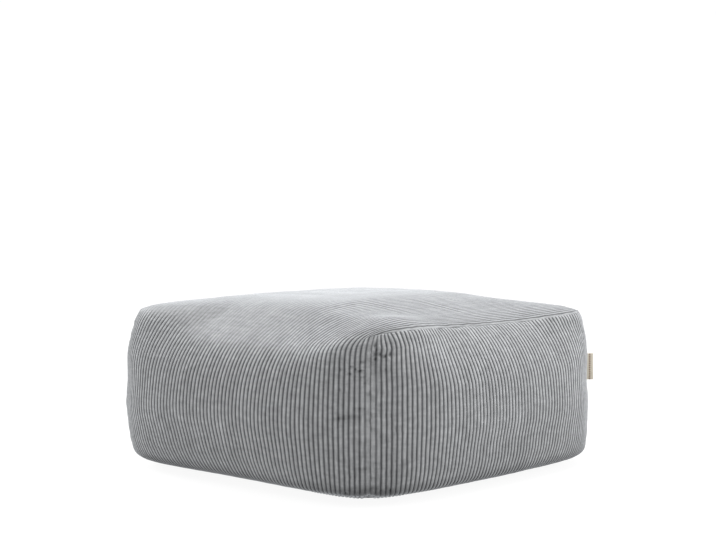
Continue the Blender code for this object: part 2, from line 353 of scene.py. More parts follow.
def mesh_object(name, points, faces):
    data = bpy.data.meshes.new(name)
    data.from_pydata(np.asarray(points).tolist(), [], [list(map(int, face)) for face in faces])
    data.validate()
    data.update()
    thing = bpy.data.objects.new(name, data)
    bpy.context.scene.collection.objects.link(thing)
    return thing


def vectors_of(items, key):
    values = np.zeros(len(items) * 3, np.float32)
    items.foreach_get(key, values)
    return values.reshape(-1, 3).astype(float)


def points_and_normals(thing):
    return vectors_of(thing.data.vertices, "co"), vectors_of(thing.data.vertex_normals, "vector")


def move_points(thing, points):
    thing.data.vertices.foreach_set("co", points.astype(np.float32).ravel())
    thing.data.update()


sack_faces = [cells(sack_index[name]) for name in (FRONT, RIGHT, BACK, LEFT, "top")]
sack_faces = np.concatenate([*sack_faces, cells(sack_index["base"])[:, ::-1]])
sack = mesh_object("sack", sack_points, sack_faces)
start_points, start_normals = points_and_normals(sack)
print("sack:", len(sack_points), "points,", len(sack_faces), "cells")

# %% Fill it, with the base held still
SWELL_ROOM = 0.002  # the sack starts this much small
SWELL_CAP = 0.0015  # and no point moves by more than this
FRAMES = 10
CLOTH_SETTINGS = {
    "quality": 5,
    "mass": 0.25,
    "tension_stiffness": 80,
    "compression_stiffness": 80,
    "shear_stiffness": 30,
    "bending_stiffness": 0.4,
    "vertex_group_mass": "held",
    "vertex_group_shrink": "seams",
    "shrink_min": 0.0,
    "shrink_max": 0.02,
    "use_pressure": True,
    "uniform_pressure_force": 0.25,
}
lowest_rows = (sack_index[side][0] for side in range(4))
held = np.unique(np.concatenate([sack_index["base"].ravel(), *lowest_rows]))
seams = [sack_index[side][:, edge] for side in (RIGHT, LEFT) for edge in (0, -1)]
seams += [sack_index[side][-1] for side in (RIGHT, LEFT)]
seams = np.unique(np.concatenate(seams))


def filled(points, normals):
    """The sack's points after the filling has swollen it."""
    free = np.ones(len(points), bool)
    free[held] = False
    small = points - normals * SWELL_ROOM * free[:, None]
    move_points(sack, small)
    for name, members in (("held", held), ("seams", seams)):
        sack.vertex_groups.new(name=name).add(members.tolist(), 1.0, "REPLACE")
    cloth = sack.modifiers.new("filling", "CLOTH")
    for name, value in CLOTH_SETTINGS.items():
        setattr(cloth.settings, name, value)
    cloth.settings.effector_weights.gravity = 0.0
    cloth.collision_settings.use_collision = False
    cloth.point_cache.frame_start = 1
    cloth.point_cache.frame_end = FRAMES
    for step in range(1, FRAMES + 1):
        bpy.context.scene.frame_set(step)
    bpy.context.view_layer.objects.active = sack
    bpy.ops.object.modifier_apply(modifier=cloth.name)
    moved = vectors_of(sack.data.vertices, "co") - points
    length = np.linalg.norm(moved, axis=1, keepdims=True)
    print("before the cap it moves by up to", length.max().round(4), "m, mean", length.mean().round(4))
    return points + moved * SWELL_CAP / (SWELL_CAP + length)


move_points(sack, filled(start_points, start_normals))
cloth_points, cloth_normals = points_and_normals(sack)
bpy.data.objects.remove(sack)

# %% [markdown]
# ## Panels with real ribs
# Corduroy is woven with raised, brushed ribs, the wales, and narrow grooves between them. On this cloth a
# rib is as wide as a pencil, so it shows in the outline and needs real geometry. A bump map would be
# cheaper, but flat at the edges. Each panel is read from the sack at six places across each rib, and then
# pushed out along its normals by the rib's round profile.

# %% Rows and columns of a panel
RIB_STATIONS = np.array([0.0, 0.10, 0.30, 0.50, 0.70, 0.90])  # 0 and 1 are grooves

rib_places = np.append((np.arange(RIBS)[:, None] + RIB_STATIONS).ravel(), RIBS)
rib_across = rib_places * PITCH


def crowded(lengths):
    """Row places along a panel from stretches of (length, spacing)."""
    places, at = [np.zeros(1)], 0.0
    for length, spacing in lengths:
        count = max(1, round(length / spacing))
        places.append(at + length * np.arange(1, count + 1) / count)
        at += length
    return np.concatenate(places)


def read_panel(grids, spacings):
    """Fine points and normals of a panel, its places across in ribs, and its places along in metres."""
    index = np.vstack(grids)
    points, normals = cloth_points[index], cloth_normals[index]
    along = steps_along(points[:, RIBS // 2])
    stretches = [(along[-1] * share, spacing) for share, spacing in spacings]
    wanted = np.minimum(crowded(stretches), along[-1])
    fine = []
    for values in (points, normals):
        rows = smooth_through(along, values, wanted)
        columns = smooth_through(np.arange(RIBS + 1.0), np.moveaxis(rows, 1, 0), rib_places)
        fine.append(np.moveaxis(columns, 0, 1))
    points, normals = fine
    return points, unit(normals), wanted


def wale(places):
    """Height of the ribs, from 0 in a groove to 1 on a crest, at places counted in ribs."""
    from_crest = np.abs(2 * (places % 1.0) - 1)
    return (1 - from_crest**WALE_POWER) ** WALE_ROUND


def edge_wale(places):
    """The ribs next to a seam are cut through and pressed flat, so they show as two low ridges."""
    return EDGE_HEIGHT * np.sin(2 * math.pi * (places % 1.0)) ** 2


# %% Read the wrap and the two ends
wrap_spacings = (
    # share_of_length, row_spacing: the rows are close where puckers need them
    (0.175, 0.0040),
    (0.065, 0.0019),
    (0.065, 0.0050),
    (0.390, 0.0135),
    (0.060, 0.0070),
    (0.245, 0.0090),
)
end_spacings = ((0.66, 0.0046), (0.34, 0.0021))
wrap = read_panel(wrap_grids, wrap_spacings)
ends = {side: read_panel((sack_index[side],), end_spacings) for side in (RIGHT, LEFT)}
for title, panel in (("wrap", wrap), ("right end", ends[RIGHT]), ("left end", ends[LEFT])):
    print(title, panel[0].shape[:2], "rows and columns,", panel[2][-1].round(4), "m long")

# %% [markdown]
# ## Seams, puckers and creases
# Where two panels are sewn, both turn in and roll back within a rib's width. The cloth is held shorter
# there, so it puckers across the ribs. Small gathers along the seams come from soft noise. The deepest
# puckers are listed in short tables in the panel's own measures: the distance from the seam and the length
# up the cloth.

# %% Puckers listed one by one
PUCKERS_WRAP = (
    # from_front_seam, up_the_cloth, half_length, half_height, depth
    (0.030, 0.279, 0.0044, 0.0027, 0.0026),
    (0.025, 0.273, 0.0040, 0.0027, 0.0024),
    (0.019, 0.269, 0.0040, 0.0027, 0.0026),
    (0.013, 0.289, 0.0040, 0.0027, 0.0020),
    (0.013, 0.271, 0.0044, 0.0024, 0.0026),
    (0.013, 0.258, 0.0044, 0.0026, 0.0020),
    (0.034, 0.264, 0.0044, 0.0030, 0.0020),
    (0.048, 0.272, 0.0056, 0.0034, 0.0016),
    (0.014, 0.280, 0.0034, 0.0044, -0.0022),
    (0.014, 0.264, 0.0034, 0.0036, -0.0022),
    (0.031, 0.270, 0.0034, 0.0038, -0.0018),
    (0.023, 0.265, 0.0032, 0.0034, -0.0018),
    (0.010, 0.247, 0.0060, 0.0036, 0.0018),
    (0.048, 0.236, 0.0070, 0.0040, 0.0016),
    (0.016, 0.205, 0.0130, 0.0030, 0.0024),
    (0.030, 0.193, 0.0200, 0.0044, 0.0016),
    (0.050, 0.190, 0.0100, 0.0050, 0.0018),
    (0.016, 0.199, 0.0050, 0.0036, -0.0010),
    (0.020, 0.163, 0.0120, 0.0050, 0.0009),
    (0.034, 0.124, 0.0160, 0.0050, 0.0012),
    (0.014, 0.112, 0.0090, 0.0030, 0.0014),
    (0.030, 0.096, 0.0180, 0.0044, 0.0016),
    (0.040, 0.063, 0.0040, 0.0050, 0.0026),
    (0.014, 0.074, 0.0120, 0.0040, 0.0010),
)
PUCKERS_END = (
    # from_front_seam, up_the_cloth, half_length, half_height, depth
    (0.006, 0.306, 0.0022, 0.0060, 0.0030),
    (0.009, 0.297, 0.0022, 0.0040, 0.0028),
    (0.006, 0.289, 0.0022, 0.0044, 0.0030),
    (0.013, 0.289, 0.0040, 0.0034, 0.0036),
    (0.022, 0.284, 0.0036, 0.0030, 0.0034),
    (0.031, 0.287, 0.0030, 0.0040, 0.0030),
    (0.008, 0.280, 0.0030, 0.0026, 0.0026),
    (0.013, 0.301, 0.0026, 0.0050, -0.0012),
    (0.022, 0.293, 0.0026, 0.0044, -0.0014),
    (0.013, 0.277, 0.0030, 0.0050, -0.0012),
    (0.030, 0.277, 0.0030, 0.0040, -0.0008),
    (0.024, 0.260, 0.0100, 0.0030, 0.0012),
    (0.012, 0.203, 0.0080, 0.0034, 0.0022),
    (0.030, 0.184, 0.0120, 0.0060, 0.0009),
    (0.042, 0.164, 0.0120, 0.0060, 0.0014),
    (0.020, 0.150, 0.0140, 0.0060, 0.0009),
    (0.012, 0.112, 0.0080, 0.0034, 0.0018),
    (0.030, 0.096, 0.0120, 0.0060, 0.0014),
    (0.004, 0.071, 0.0030, 0.0040, 0.0024),
    (0.012, 0.069, 0.0026, 0.0060, 0.0034),
    (0.019, 0.065, 0.0026, 0.0050, 0.0030),
    (0.028, 0.070, 0.0026, 0.0060, 0.0034),
    (0.034, 0.064, 0.0030, 0.0040, 0.0026),
    (0.575, 0.285, 0.0100, 0.0036, 0.0022),
    (0.592, 0.277, 0.0080, 0.0036, 0.0026),
    (0.560, 0.272, 0.0120, 0.0036, 0.0014),
    (0.600, 0.262, 0.0060, 0.0056, 0.0020),
)
PUCKERS_OF_END = {RIGHT: PUCKERS_END, LEFT: PUCKERS_WRAP}
print("puckers:", len(PUCKERS_WRAP), "on the wrap,", len(PUCKERS_END), "on the right end")

# %% Gathers, wandering ribs and worn ribs
GATHER = 0.0013  # small puckers all along the seams
GATHER_SHOWS = 1.6  # a gather is shaded as if it were this much deeper
GATHER_REACH = 0.022
GATHER_STEP = 0.011
WANDER = 0.0005  # ribs wander sideways by this much
WANDER_ACROSS, WANDER_STEP = 4 * PITCH, 0.045
WANDER_WHOLE = 0.03  # from the nearest seam
NAP_STEP = 0.030
NAP_SHARE = 0.16  # how much the brushed ribs vary in height
WORN_SHARE = 0.80  # of a rib's height is lost where it is sat on
WORN_FROM, WORN_WHOLE = 0.55, 0.92  # the upward parts of the normals between which a rib is sat smoother
WORN_LEAST, WORN_REACH = 0.15, 0.36  # the share of that wear at the right-hand seam, and where it is whole
# level cloth is drawn darker in the finish, as painted shade
LEVEL_FROM = 0.80  # the upward part of the normals from which cloth counts as level

dice = np.random.default_rng(7)


def soft_noise(across, along, step_across, step_along):
    """Smooth random values about -1 to 1 over a panel, at places given in metres."""
    nodes_across = np.arange(across[0] - step_across, across[-1] + 2 * step_across, step_across)
    nodes_along = np.arange(along[0] - step_along, along[-1] + 2 * step_along, step_along)
    values = dice.uniform(-1.0, 1.0, (len(nodes_along), len(nodes_across)))
    rows = smooth_through(nodes_along, values, along)
    return smooth_through(nodes_across, rows.T, across).T


def seam_valley(distance):
    return SEAM_DEPTH * np.exp(-distance / SEAM_ROLL)


def puckers(table, across, along):
    """Hollows of the table's rows, at distances from the seam and places up the cloth."""
    depth = np.zeros((len(along), len(across)))
    for from_seam, up, half_length, half_height, deep in table:
        beside = np.exp(-(((across[None, :] - from_seam) / half_length) ** 2))
        depth += deep * beside * np.exp(-(((along[:, None] - up) / half_height) ** 2))
    return depth


# %% Ribs on the panels
def ribbed(panel, to_seam, hollows):
    """The panel's points without its ribs and with them, and its marks for the finish: wear and painted
    shade.
    """
    points, normals, along = panel
    near_seam = np.exp(-to_seam / GATHER_REACH)
    gathers = GATHER * near_seam * soft_noise(rib_across, along, GATHER_REACH, GATHER_STEP)
    smooth = points + normals * (gathers - hollows - seam_valley(to_seam))[:, :, None]
    sideways = WANDER * soft_noise(rib_across, along, WANDER_ACROSS, WANDER_STEP)
    sideways *= np.clip(to_seam / WANDER_WHOLE, 0.0, 1.0)
    smooth = smooth + unit(np.gradient(points, axis=1)) * sideways[:, :, None]
    nap = 1.0 + NAP_SHARE * soft_noise(rib_across, along, PITCH, NAP_STEP)
    at_edge = (rib_places < 1.0) | (rib_places > RIBS - 1.0)
    profile = np.where(at_edge, edge_wale(rib_places), wale(rib_places))
    flat_top = eased((normals[:, :, 2] - WORN_FROM) / (WORN_WHOLE - WORN_FROM))
    far_in = eased((rib_across[-1] - rib_across) / WORN_REACH)
    # the wear flattens the ribs; in the finish it also calms their stripes and drives painted shade
    wear_and_shade = WORN_SHARE * flat_top * (WORN_LEAST + (1 - WORN_LEAST) * far_in)
    height = WALE_HEIGHT * profile[None, :] * nap * (1 - wear_and_shade)
    # level cloth, marked only for painted shade in the finish
    level = eased((normals[:, :, 2] - LEVEL_FROM) / (1 - LEVEL_FROM))
    # how deep a pucker or gather lies, for its painted shade in the finish
    hollow = np.maximum(hollows - GATHER_SHOWS * gathers, 0.0)
    marks = {"hollow": hollow, "wear_and_shade": wear_and_shade, "level": level}
    return smooth, smooth + normals * height[:, :, None], marks


width = RIBS * PITCH
to_side_seam = np.minimum(rib_across, width - rib_across)
wrap_to_seam = np.tile(to_side_seam, (len(wrap[2]), 1))
wrap_hollows = puckers(PUCKERS_WRAP, width - rib_across, wrap[2])
_, wrap_ribbed, wrap_marks = ribbed(wrap, wrap_to_seam, wrap_hollows)

end_smooth, end_ribbed, end_marks = {}, {}, {}
for side, panel in ends.items():
    to_seam = np.minimum(to_side_seam[None, :], (panel[2][-1] - panel[2])[:, None])
    hollows = puckers(PUCKERS_OF_END[side], rib_across, panel[2])
    end_smooth[side], end_ribbed[side], end_marks[side] = ribbed(panel, to_seam, hollows)
print("relief on the wrap:", np.linalg.norm(wrap_ribbed - wrap[0], axis=2).max().round(4))

# %% [markdown]
# ## Pieces
# An end panel is a single layer of cloth: ribbed outside, flat inside, closed round its edge. The wrap is a
# filled piece, so it is closed behind the end panels and underneath, where no cloth shows, by the coarse
# sack pulled in a little. Two edges of unequal counts meet there, and a row of triangles joins them.

# %% Helpers for closed pieces
def grid_of(count_down, count_across):
    return np.arange(count_down * count_across).reshape(count_down, count_across)


def boundary(index):
    """The edge of a grid of vertex numbers, once round, turning to the left."""
    return np.concatenate([index[0, :-1], index[:-1, -1], index[-1, :0:-1], index[:0:-1, 0]])


def layered(outer, inner):
    """Points and faces of a sheet from the grids of its two layers, closed round the edge."""
    front = grid_of(*outer.shape[:2])
    behind = front + front.size
    edge = boundary(front)
    following = np.roll(edge, -1)
    rim = np.column_stack([following, edge, edge + front.size, following + front.size])
    points = np.concatenate([outer.reshape(-1, 3), inner.reshape(-1, 3)])
    return points, np.concatenate([cells(front), cells(behind)[:, ::-1], rim])


def joined(first, second, first_at, second_at):
    """Triangles between two lines that run the same way, from one shared place to the next."""
    faces, a, b = [], 0, 0
    while a < len(first) - 1 or b < len(second) - 1:
        first_is_next = b == len(second) - 1 or (a < len(first) - 1 and first_at[a + 1] <= second_at[b + 1])
        if first_is_next:
            faces.append((first[a + 1], first[a], second[b]))
            a += 1
        else:
            faces.append((second[b], second[b + 1], first[a]))
            b += 1
    return faces


def shares_of(line):
    measured = steps_along(line)
    return measured / measured[-1]


def pieced(name, points, faces, places, slot, **marks):
    """A finished piece of cloth. Its map is in metres across and along the ribs, one place a point, and
    each mark is one value a point."""
    thing = mesh_object(name, points, faces)
    corners = np.zeros(len(thing.data.loops), np.int32)
    thing.data.loops.foreach_get("vertex_index", corners)
    layer = thing.data.uv_layers.new(name="along_the_ribs")
    layer.data.foreach_set("uv", np.asarray(places, np.float32)[corners].ravel())
    for mark, values in marks.items():
        layer = thing.data.attributes.new(mark, "FLOAT", "POINT")
        layer.data.foreach_set("value", np.asarray(values, np.float32))
    thing.data.shade_smooth()
    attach(thing, "root")
    return thing


def measure(thing):
    """Triangles, and open or crowded edges, for the printout."""
    mesh = bmesh.new()
    mesh.from_mesh(thing.data)
    faults = sum(len(edge.link_faces) != 2 for edge in mesh.edges)
    litres = mesh.calc_volume(signed=True) * 1000
    triangles = sum(len(face.verts) - 2 for face in mesh.faces)
    mesh.free()
    print(thing.name, triangles, "triangles,", faults, "faulty edges,", round(litres, 3), "litres")


# %% End panels
def flat_places(panel):
    """Where each point of a panel lies on the flat cloth, in metres across and along the ribs."""
    return np.stack(np.meshgrid(rib_across, panel[2]), axis=-1).reshape(-1, 2)


def end_panel(name, side):
    outer, inner = end_ribbed[side].copy(), end_smooth[side] - ends[side][1] * CLOTH_THICKNESS
    for grid in (outer, inner):
        grid[:, 0] += SEAM_GAP * unit(grid[:, 1] - grid[:, 0])
        grid[:, -1] += SEAM_GAP * unit(grid[:, -2] - grid[:, -1])
        grid[-1] += SEAM_GAP * unit(grid[-2] - grid[-1])
        grid[:, :, 2] = np.maximum(grid[:, :, 2], FLOOR_GAP)
    points, faces = layered(outer, inner)
    hollow = np.concatenate([end_marks[side]["hollow"].ravel(), np.zeros(inner.size // 3)])
    places = np.tile(flat_places(ends[side]), (2, 1))
    panel = pieced(name + "_cloth", points, faces, places, "corduroy", hollow=hollow)
    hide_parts(name)
    measure(panel)
    return panel


# %% The wrap
FILLING_INSET = 0.0046  # from the end panel's smooth face in to the filling behind it


def filling_points():
    """The coarse sack, pulled in behind the end panels and from the wrap's own edges."""
    points = cloth_points.copy()
    inset = np.zeros(len(points))
    for side in (RIGHT, LEFT):
        index = sack_index[side]
        across = np.arange(RIBS + 1.0) * PITCH
        up = steps_along(cloth_points[index][:, RIBS // 2])
        seam = np.minimum(np.minimum(across, across[-1] - across)[None, :], (up[-1] - up)[:, None])
        inset[index] = FILLING_INSET + seam_valley(seam) + puckers(PUCKERS_OF_END[side], across, up)
    inset[sack_index[FRONT][0]] = inset[sack_index[BACK][0]] = FILLING_INSET
    away = cloth_normals.copy()
    away[sack_index["base"].ravel(), 2] = 0.0
    points -= away * inset[:, None]
    points[:, 2] = np.maximum(points[:, 2], BASE_LEVEL)
    return points


def over(index):
    """The seam of a side: up its first edge, over its top and down its last edge."""
    return np.concatenate([index[:, 0], index[-1, 1:-1], index[::-1, -1]])


def wrap_cushion():
    outer = wrap_ribbed.copy()
    outer[:, :, 2] = np.maximum(outer[:, :, 2], FLOOR_GAP)
    strip = grid_of(*outer.shape[:2])
    first = strip.size
    right, left, back, base = (sack_index[key] for key in (RIGHT, LEFT, BACK, "base"))
    seams_and_strips = (
        (sack_index[FRONT][0], strip[0]),
        (over(right), strip[:, -1]),
        (back[0], strip[-1, ::-1]),
        (over(left), strip[::-1, 0]),
    )
    points = np.concatenate([outer.reshape(-1, 3), filling_points()])
    faces = [*cells(strip), *cells(right + first), *cells(left + first), *cells(base + first)[:, ::-1]]
    for inner_line, outer_line in seams_and_strips:
        lines = (outer_line, inner_line + first)
        faces += joined(*lines, *(shares_of(points[line]) for line in lines))
    used = np.unique(np.concatenate([np.ravel(face) for face in faces]))
    number = np.full(len(points), -1)
    number[used] = np.arange(len(used))
    places = np.concatenate([flat_places(wrap), cloth_points[:, :2]])
    faces = [number[np.array(face)] for face in faces]
    hidden = np.zeros(len(cloth_points))
    marks = {mark: np.append(values.ravel(), hidden)[used] for mark, values in wrap_marks.items()}
    thing = pieced("wrap", points[used], faces, places[used], "corduroy", **marks)
    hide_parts("wrap_cushion")
    measure(thing)
    return thing


wrap_piece = wrap_cushion()
end_pieces = [end_panel("end_panel_right", RIGHT), end_panel("end_panel_left", LEFT)]

# %% [markdown]
# ## The base panel
# Underneath, the cover is closed by one flat sheet of the same cloth. The weight of the beads presses it to
# the floor, so its ribs are almost flat. It is thin, and only its edge could ever show.

# %% Base panel
BASE_STATIONS = np.array([0.0, 0.25, 0.50, 0.75])
BASE_ROWS = 40
PRESSED_HEIGHT = 0.0007


def base_panel():
    low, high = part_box("base_panel")
    across = high.x - low.x
    ribs = round(across / PITCH)
    stations = np.append((np.arange(ribs)[:, None] + BASE_STATIONS).ravel(), ribs) / ribs
    along = np.linspace(0.0, 1.0, BASE_ROWS + 1)
    grid_shares = np.linspace(0.0, 1.0, RIBS + 1)
    turns = ((FRONT, 1), (BACK, -1), (LEFT, -1), (RIGHT, 1))
    edges = (ring_side(*SECTIONS[0], side, grid_shares)[::turn] for side, turn in turns)
    even = stretched_between(*edges)
    rows = smooth_through(grid_shares, even, along)
    under = np.moveaxis(smooth_through(grid_shares, np.moveaxis(rows, 1, 0), stations), 0, 1)
    above = under.copy()
    under[:, :, 2] = PRESSED_HEIGHT * (1 - wale(stations * ribs))
    above[:, :, 2] = BASE_THICKNESS
    points, faces = layered(above, under)
    places = np.stack(np.meshgrid(stations * ribs * PITCH, along * across), axis=-1).reshape(-1, 2)
    panel = pieced("base_panel_cloth", points, faces, np.tile(places, (2, 1)), "corduroy")
    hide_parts("base_panel")
    measure(panel)
    return panel


base_piece = base_panel()

# %% [markdown]
# ## The tab in the seam
# A short woven ribbon is folded in half and caught in the upright seam between the right end and the back.
# It is a strip of faces bent round its fold, and Solidify gives it the ribbon's thickness.

# %% Ribbon tab
LABEL_HEIGHT = 0.047 * SCALE
LABEL_MIDDLE = 0.1705 * SCALE
LABEL_REACH = 0.0145 * SCALE
LABEL_LAYER = 0.0007
LABEL_OPEN = 0.0010  # between the middles of its two layers
LABEL_CURL, LABEL_BENDS = 0.0012, (-1.2, 2.2)  # how far it curls, and the part of a sine that it follows
LABEL_ROWS, LABEL_STEPS, FOLD_STEPS = 24, 7, 8


def label_tab():
    seam = cloth_points[sack_index[RIGHT][:, -1]]
    heights = LABEL_MIDDLE + LABEL_HEIGHT * np.linspace(-0.5, 0.5, LABEL_ROWS + 1)
    start = np.interp(heights, seam[:, 2], np.linalg.norm(seam[:, :2], axis=1)).max() - SEAM_DEPTH
    radius = LABEL_OPEN / 2
    turn = np.linspace(-math.pi / 2, math.pi / 2, FOLD_STEPS + 1)
    fold = LABEL_REACH + SEAM_DEPTH - radius - LABEL_LAYER / 2
    straight = np.linspace(0.0, fold, LABEL_STEPS + 1)[:-1]
    layer_off = np.full(LABEL_STEPS, radius)
    far = np.concatenate([straight, fold + radius * np.cos(turn), straight[::-1]])
    off = np.concatenate([-layer_off, radius * np.sin(turn), layer_off])
    out, aside = np.array([[1.0, 1.0, 0.0], [-1.0, 1.0, 0.0]]) / math.sqrt(2)
    share = (far / far.max()) ** 2
    bend = LABEL_CURL * np.sin(np.linspace(*LABEL_BENDS, LABEL_ROWS + 1))
    points = (start + far)[None, :, None] * out + (off + bend[:, None] * share)[:, :, None] * aside
    points[:, :, 2] = heights[:, None]
    faces = cells(grid_of(*points.shape[:2]))
    length = steps_along(np.column_stack([far, off]))
    places = np.stack(np.meshgrid(length, heights - heights[0]), axis=-1).reshape(-1, 2)
    tab = pieced("label_ribbon", points.reshape(-1, 3), faces, places, "ribbon")
    bpy.context.view_layer.objects.active = tab
    layer = tab.modifiers.new("layer", "SOLIDIFY")
    layer.thickness = LABEL_LAYER
    layer.offset = 0.0
    layer.use_even_offset = True
    bpy.ops.object.modifier_apply(modifier=layer.name)
    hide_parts("label_tab")
    measure(tab)
    return tab


label_piece = label_tab()

# %% [markdown]
# ## The cloth's finish
# Corduroy looks light on its crests and dark in its grooves, partly by shadow and partly because the pile
# stands open there; the flank and groove greys paint some of that shadow into the colour as well. A rib's
# place across comes from the piece's own map, so the colour follows its every bend, as stripes painted from
# one side would not. Soft noise gives the brushed patches, and the sheen the pale look of pile seen edge
# on.
# The marks on each point give the puckers and the worn and level top painted shade, and calm the worn ribs.
# Painted shade also darkens the cloth towards the floor and underneath.

# %% Shader helpers
def node(tree, kind, **settings):
    made = tree.nodes.new("ShaderNode" + kind)
    for name, value in settings.items():
        setattr(made, name, value)
    return made


def fed(tree, made, **values):
    """Fills a node's inputs, given by name or number: an output is linked, anything else is set."""
    for name, value in values.items():
        socket = made.inputs[int(name[1:]) if name[0] == "_" else name.replace("_", " ")]
        if isinstance(value, bpy.types.NodeSocket):
            tree.links.new(value, socket)
        else:
            socket.default_value = value
    return made


def reckoned(tree, operation, *values):
    made = node(tree, "Math", operation=operation)
    return fed(tree, made, **{f"_{k}": value for k, value in enumerate(values)}).outputs[0]


def product(tree, value, *others):
    for other in others:
        value = reckoned(tree, "MULTIPLY", value, other)
    return value


def between(tree, value, low, high, to_low, to_high, kind="SMOOTHSTEP"):
    """A value carried from one range to another, eased and held at both ends."""
    made = node(tree, "MapRange", interpolation_type=kind)
    return fed(tree, made, _0=value, _1=low, _2=high, _3=to_low, _4=to_high).outputs[0]


def noise(tree, places, across, along, detail, roughness):
    """Soft noise over a piece's map, with so many features a metre across and along the ribs."""
    spread = fed(tree, node(tree, "Mapping"), Vector=places, Scale=(across, along, 1.0)).outputs[0]
    made = node(tree, "TexNoise")
    return fed(tree, made, Vector=spread, Scale=1.0, Detail=detail, Roughness=roughness).outputs[0]


def mark_of(tree, name):
    return node(tree, "Attribute", attribute_name=name).outputs["Fac"]


def map_of(tree):
    """The piece's own map, and its two parts: across and along the ribs."""
    places = node(tree, "UVMap", uv_map="along_the_ribs").outputs[0]
    return places, *fed(tree, node(tree, "SeparateXYZ"), Vector=places).outputs[:2]


def shaded(tree, colour, shade):
    """A colour made darker or lighter by one value."""
    grey = fed(tree, node(tree, "CombineColor"), _0=shade, _1=shade, _2=shade).outputs[0]
    return blended(tree, 1.0, colour, grey, "MULTIPLY")


def new_material(name):
    material = bpy.data.materials.new(name)
    material.use_nodes = True
    return material, material.node_tree, material.node_tree.nodes["Principled BSDF"]


def blended(tree, share, first, second, kind="MIX"):
    made = node(tree, "Mix", data_type="RGBA", blend_type=kind)
    return fed(tree, made, _0=share, _6=first, _7=second).outputs[2]


# %% Grey corduroy
# the flank and groove greys are partly the cloth's own darker ground and partly painted groove shade, over
# the shadow of the real ribs
CREST = (0.340, 0.345, 0.351, 1.0)
FLANK = (0.205, 0.210, 0.216, 1.0)
GROOVE = (0.080, 0.081, 0.085, 1.0)
SHEEN = (0.93, 0.96, 1.0, 1.0)
SEAM_RIBS, SEAM_STRIPES = (0.5, 1.3), 0.40  # the stripes are weak this close to a seam, counted in ribs
FLANK_AT, GROOVE_AT = (0.15, 0.75), (0.50, 0.98)  # where each takes over, from 0 on the crest
RIB_SHADES = (0.95, 1.05)  # one rib differs from the next by this much
BRUSHED_SHADES = (
    # across, along, detail, roughness, darkest, lightest: features a metre, and how much they shade
    (260.0, 60.0, 3.0, 0.55, 0.86, 1.12),
    (22.0, 16.0, 2.0, 0.50, 0.93, 1.06),
    (45.0, 120.0, 2.0, 0.60, 0.85, 1.13),
)
NOISE_RANGE = (0.30, 0.70)  # almost all of the noise lies here
# painted shade on the top: worn and level cloth is drawn darker than its light makes it
WORN_PAINTED_SHADE, LEVEL_PAINTED_SHADE = 0.20, 0.28
PAINTED_SHADE_BELOW = (
    # from_height, to_height, shade: painted shade, darker towards the floor and darkest underneath
    (0.000, 0.130, 0.77),
    (0.010, 0.040, 0.15),
)
# painted shade in the puckers and gathers: a hollow this deep is drawn this share darker
HOLLOW_DEPTH, HOLLOW_PAINTED_SHADE = 0.0034, 0.68
HOLLOW_AT, HOLLOW_ON_CREST = (0.2, 0.8), 0.5  # a pucker is dark in the grooves, and half as dark on a crest
FIBRES = (2600.0, 900.0, 3.0, 0.6)  # across, along, detail and roughness of the finest pile
TUFTS = (500.0, 260.0, 2.0, 0.5)


def striped(tree, from_crest, open_rib):
    """The three greys of a rib, crest to groove: the cloth's own darker ground and painted groove shade."""
    colour = CREST
    for place, darker in ((FLANK_AT, FLANK), (GROOVE_AT, GROOVE)):
        share = product(tree, between(tree, from_crest, *place, 0.0, 1.0), open_rib)
        colour = blended(tree, share, colour, darker)
    return colour


